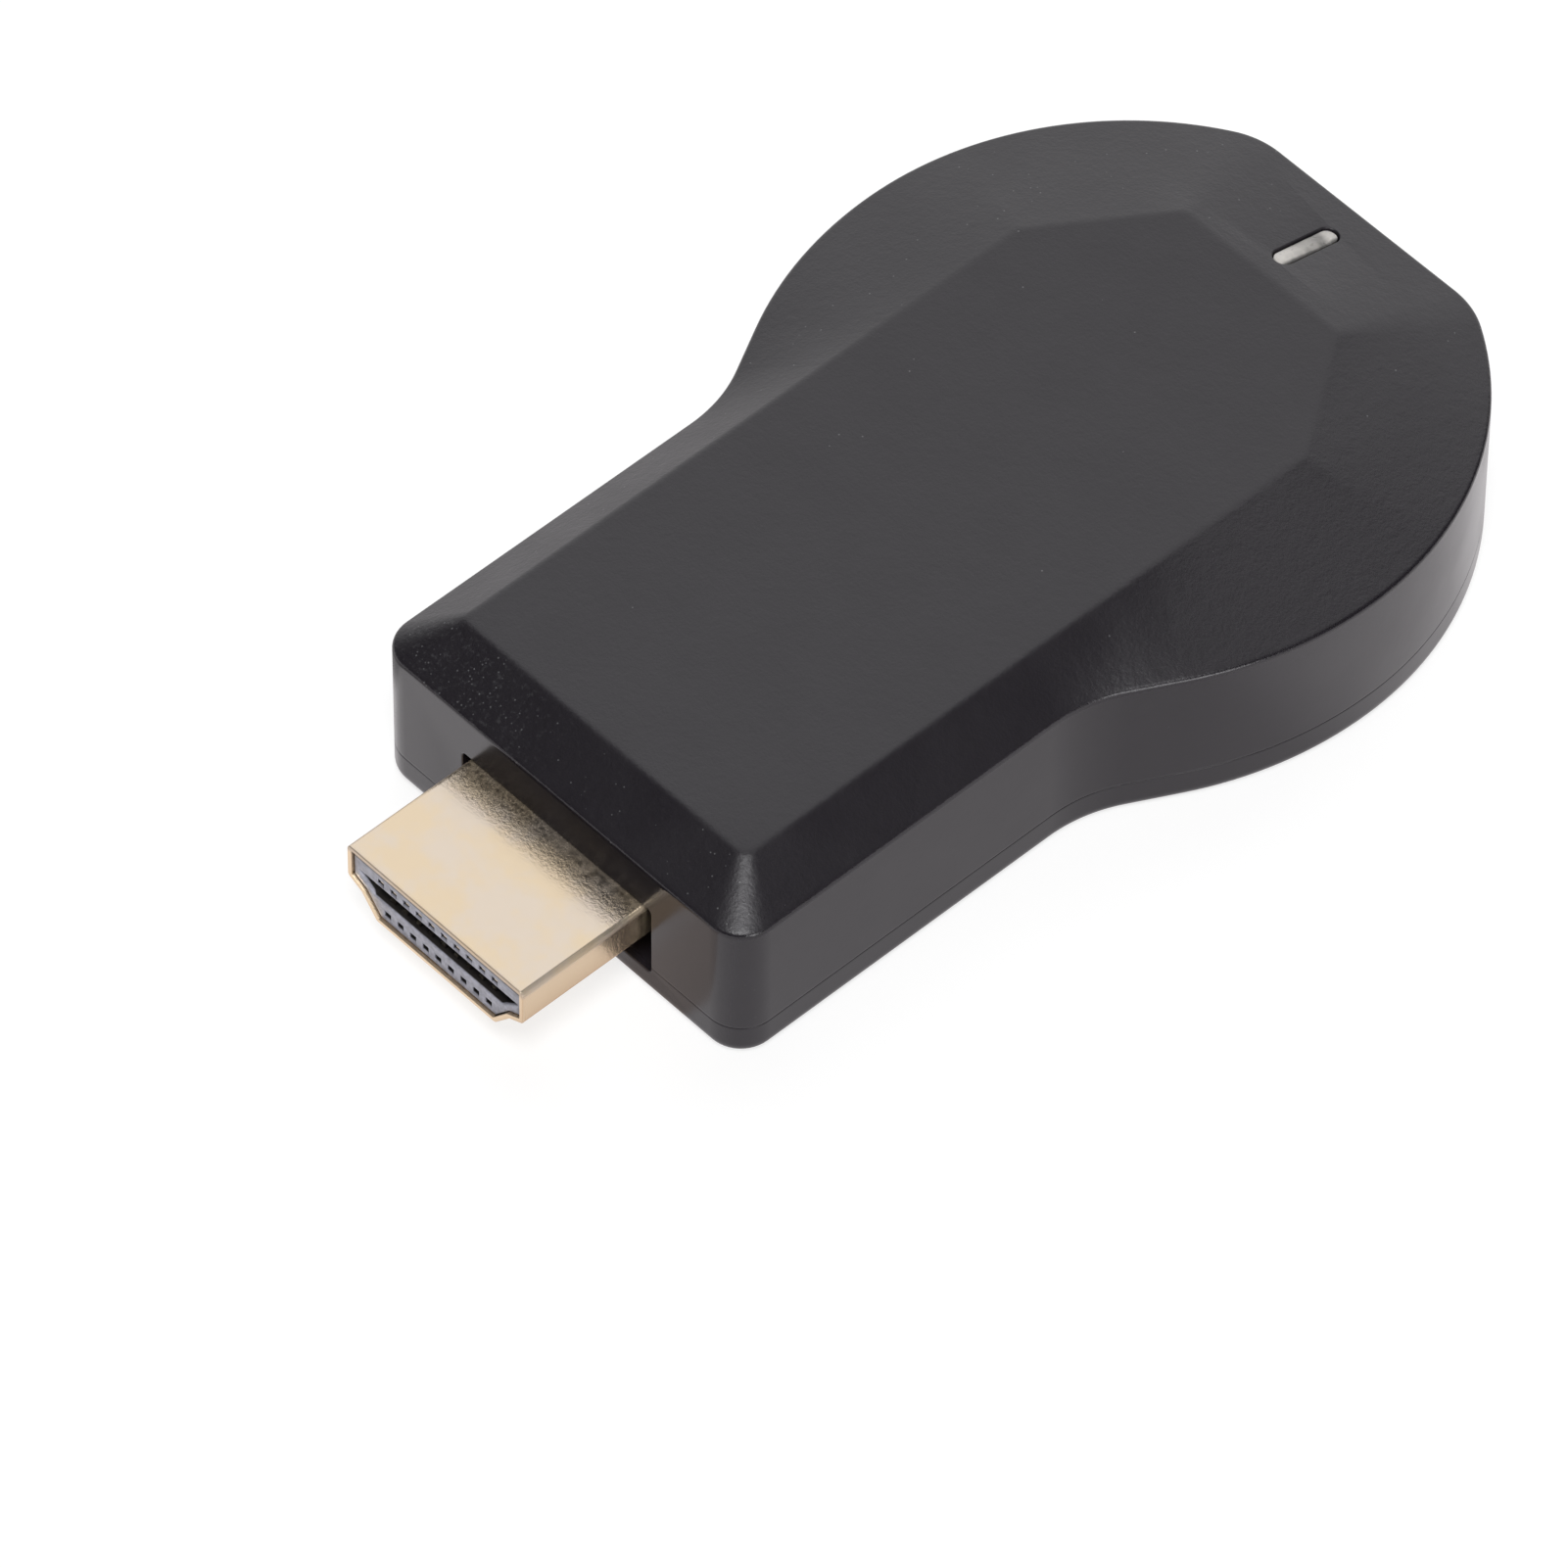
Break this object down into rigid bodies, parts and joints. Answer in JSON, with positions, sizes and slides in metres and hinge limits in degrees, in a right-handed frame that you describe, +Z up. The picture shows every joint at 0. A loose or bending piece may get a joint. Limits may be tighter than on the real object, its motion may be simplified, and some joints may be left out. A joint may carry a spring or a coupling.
{
  "type": "wireless display dongle",
  "caption": "Wireless display dongle: dark two-shell casing with a square neck, a round head and a raised faceted top, gold HDMI plug, micro-USB power socket and side button.",
  "frame": {"origin": "centre of the bounding box on the underside", "axes": "+X across the width, +Y from the plug to the round head, +Z up from the flat underside"},
  "size_m": [0.0398, 0.0695, 0.0121],
  "materials": {
    "upper_casing": "satin charcoal, fine grain",
    "lower_casing": "satin charcoal, fine grain",
    "hdmi_shell": "gold plated",
    "hdmi_insulator": "moulded, blue grey",
    "hdmi_contacts_upper": "gold plated",
    "hdmi_contacts_lower": "gold plated",
    "main_board": "green solder mask",
    "processor": "moulded",
    "memory_chip": "moulded",
    "flash_chip": "moulded, tinned leads",
    "regulators": "moulded, tinned leads",
    "inductors": "ferrite",
    "crystal": "metal lid",
    "esd_arrays": "moulded",
    "ceramic_capacitors": "fired ceramic, tinned ends",
    "bulk_capacitors": "moulded, tinned ends",
    "chip_resistors": "glazed",
    "thermal_pad": "soft",
    "heat_sink": "extruded",
    "status_led": "clear lens",
    "light_pipe": "milky",
    "usb_shell": "nickel plated",
    "usb_tongue": "moulded",
    "usb_contacts": "gold plated",
    "switch_body": "moulded",
    "switch_cover": "pressed sheet",
    "switch_plunger": "moulded",
    "mode_button": "satin",
    "board_screws": "zinc plated"
  },
  "bodies": {
    "casing": {"upper_casing": "upper_casing", "lower_casing": "lower_casing", "hdmi_shell": "hdmi_shell", "hdmi_insulator": "hdmi_insulator", "hdmi_contacts_upper": "hdmi_contacts_upper", "hdmi_contacts_lower": "hdmi_contacts_lower", "main_board": "main_board", "processor": "processor", "memory_chip": "memory_chip", "flash_chip": "flash_chip", "regulators": "regulators", "inductors": "inductors", "crystal": "crystal", "esd_arrays": "esd_arrays", "ceramic_capacitors": "ceramic_capacitors", "bulk_capacitors": "bulk_capacitors", "chip_resistors": "chip_resistors", "thermal_pad": "thermal_pad", "heat_sink": "heat_sink", "status_led": "status_led", "light_pipe": "light_pipe", "usb_shell": "usb_shell", "usb_tongue": "usb_tongue", "usb_contacts": "usb_contacts", "switch_body": "switch_body", "switch_cover": "switch_cover", "board_screws": "board_screws"},
    "button": {"switch_plunger": "switch_plunger", "mode_button": "mode_button"}
  },
  "joints": [
    {"name": "button_press", "type": "slide", "parent": "casing", "child": "button", "axis": [0, -1, 0], "range_m": [0, 0.00025], "stiffness_N_per_m": 1000}
  ]
}
